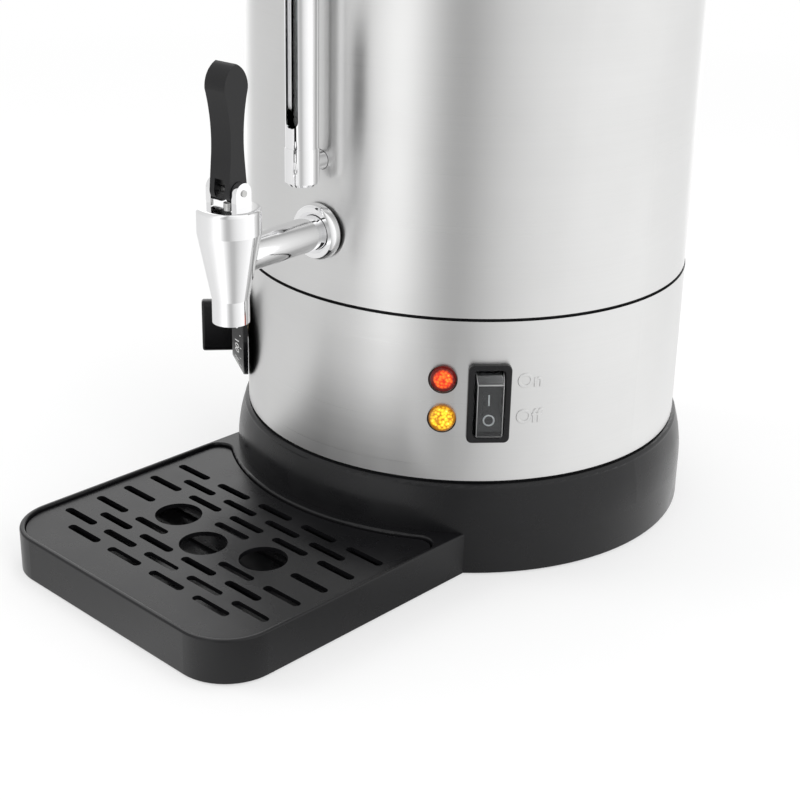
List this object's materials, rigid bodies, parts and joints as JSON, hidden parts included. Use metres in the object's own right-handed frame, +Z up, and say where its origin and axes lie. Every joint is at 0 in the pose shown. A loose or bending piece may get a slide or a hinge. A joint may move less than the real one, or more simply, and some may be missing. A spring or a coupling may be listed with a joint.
{
  "type": "coffee urn",
  "caption": "Upright electric coffee urn with a steel jacket, black base and drip tray, front tap, sight gauge, dial, rocker switch, two lamps, lift-off lid and percolator basket.",
  "frame": {"origin": "middle of the outline at table level, under the feet", "axes": "+Z up, -Y towards the front with the tap and drip tray, +X to the right seen from the front"},
  "size_m": [0.336, 0.3936, 0.4829],
  "materials": {
    "black_moulding": "satin moulded black, fine grain",
    "black_grip": "semi-gloss black phenolic",
    "brushed_jacket": "fine brushing round the body",
    "tank_steel": "plain drawn stainless sheet",
    "plated_steel": "bright zinc plate",
    "chrome": "polished",
    "rubber": "soft matt",
    "silicone": "translucent white silicone",
    "brass": "machined",
    "copper": "dull copper",
    "aluminium": "satin sheet",
    "element_sheath": "dull alloy sheath",
    "clear_boot": "clear soft cover",
    "gauge_glass": "clear drawn tube",
    "red_lens": "lit red prismatic lens",
    "amber_lens": "lit amber prismatic lens",
    "white_plastic": "white moulding",
    "wire_cover": "silicone covered leads"
  },
  "bodies": {
    "urn": {"base_housing": "black_moulding", "bottom_plate": "plated_steel", "rubber_feet": "rubber", "bottom_screws": "plated_steel", "tie_rods": "plated_steel", "tie_nuts": "plated_steel", "lower_band": "brushed_jacket", "outer_jacket": "brushed_jacket", "inner_tank": "tank_steel", "handle_right": "black_grip", "handle_left": "black_grip", "handle_screws": "plated_steel", "tap_body": "chrome", "tap_bonnet": "chrome", "lever_pin": "plated_steel", "valve_spring": "plated_steel", "tap_washer": "rubber", "tap_escutcheon": "chrome", "tap_spacer": "white_plastic", "tap_seal": "silicone", "tap_nut": "brass", "gauge_foot": "chrome", "gauge_head": "chrome", "gauge_glass": "gauge_glass", "gauge_seals": "rubber", "gauge_guard": "chrome", "gauge_nuts": "brass", "switch_bezel": "black_moulding", "switch_body": "black_moulding", "switch_boot": "clear_boot", "lamp_lens_red": "red_lens", "lamp_lens_amber": "amber_lens", "lamp_bodies": "black_moulding", "lamp_nuts": "white_plastic", "thermostat_body": "aluminium", "thermostat_nut": "brass", "thermostat_bulb": "copper", "heating_element": "element_sheath", "keep_warm_element": "element_sheath", "element_clamp": "aluminium", "heat_shield": "aluminium", "thermal_cutout": "white_plastic", "mains_inlet": "black_moulding", "inlet_screws": "plated_steel", "terminal_block": "white_plastic", "wiring": "wire_cover"},
    "percolator": {"pump_tube": "aluminium"},
    "basket": {"filter_basket": "aluminium"},
    "cover": {"basket_cover": "aluminium"},
    "lid": {"lid": "tank_steel", "lid_knob": "black_grip", "lid_screw": "plated_steel"},
    "pan": {"drip_pan": "black_moulding"},
    "grate": {"drip_grate": "black_moulding"},
    "lever": {"tap_lever": "black_grip"},
    "valve": {"valve_stem": "plated_steel", "valve_seal": "silicone"},
    "rocker": {"switch_rocker": "black_grip"},
    "dial": {"thermostat_knob": "black_grip", "thermostat_shaft": "plated_steel"}
  },
  "joints": [
    {"name": "percolator_lift", "type": "slide", "parent": "urn", "child": "percolator", "axis": [0, 0, 1], "range_m": [0, 0.3]},
    {"name": "basket_lift", "type": "slide", "parent": "percolator", "child": "basket", "axis": [0, 0, 1], "range_m": [0, 0.09]},
    {"name": "cover_lift", "type": "slide", "parent": "basket", "child": "cover", "axis": [0, 0, 1], "range_m": [0, 0.04]},
    {"name": "lid_lift", "type": "slide", "parent": "cover", "child": "lid", "axis": [0, 0, 1], "range_m": [0, 0.15]},
    {"name": "pan_lift", "type": "slide", "parent": "urn", "child": "pan", "axis": [0, 0, 1], "range_m": [0, 0.045]},
    {"name": "grate_lift", "type": "slide", "parent": "pan", "child": "grate", "axis": [0, 0, 1], "range_m": [0, 0.05]},
    {"name": "lever_pull", "type": "hinge", "parent": "urn", "child": "lever", "pos_m": [0.01483, -0.12317, 0.2125], "axis": [0.9969, 0.0785, 0], "range_deg": [0, 40], "stiffness_Nm_per_rad": 0.3, "springref_deg": -11.46},
    {"name": "valve_lift", "type": "slide", "parent": "urn", "child": "valve", "axis": [0, 0, 1], "range_m": [0, 0.004], "deforming": ["valve_spring"]},
    {"name": "rocker_tilt", "type": "hinge", "parent": "urn", "child": "rocker", "pos_m": [0.08742, -0.01401, 0.0968], "axis": [0.6717, 0.7408, 0], "range_deg": [0, 16]},
    {"name": "dial_turn", "type": "hinge", "parent": "urn", "child": "dial", "pos_m": [-0.08391, -0.03404, 0.0951], "axis": [0.6455, 0.7638, 0], "range_deg": [0, 270]}
  ],
  "couplings": [
    {"joint": "valve_lift", "follows": "lever_pull", "m_per_rad": 0.0057}
  ]
}
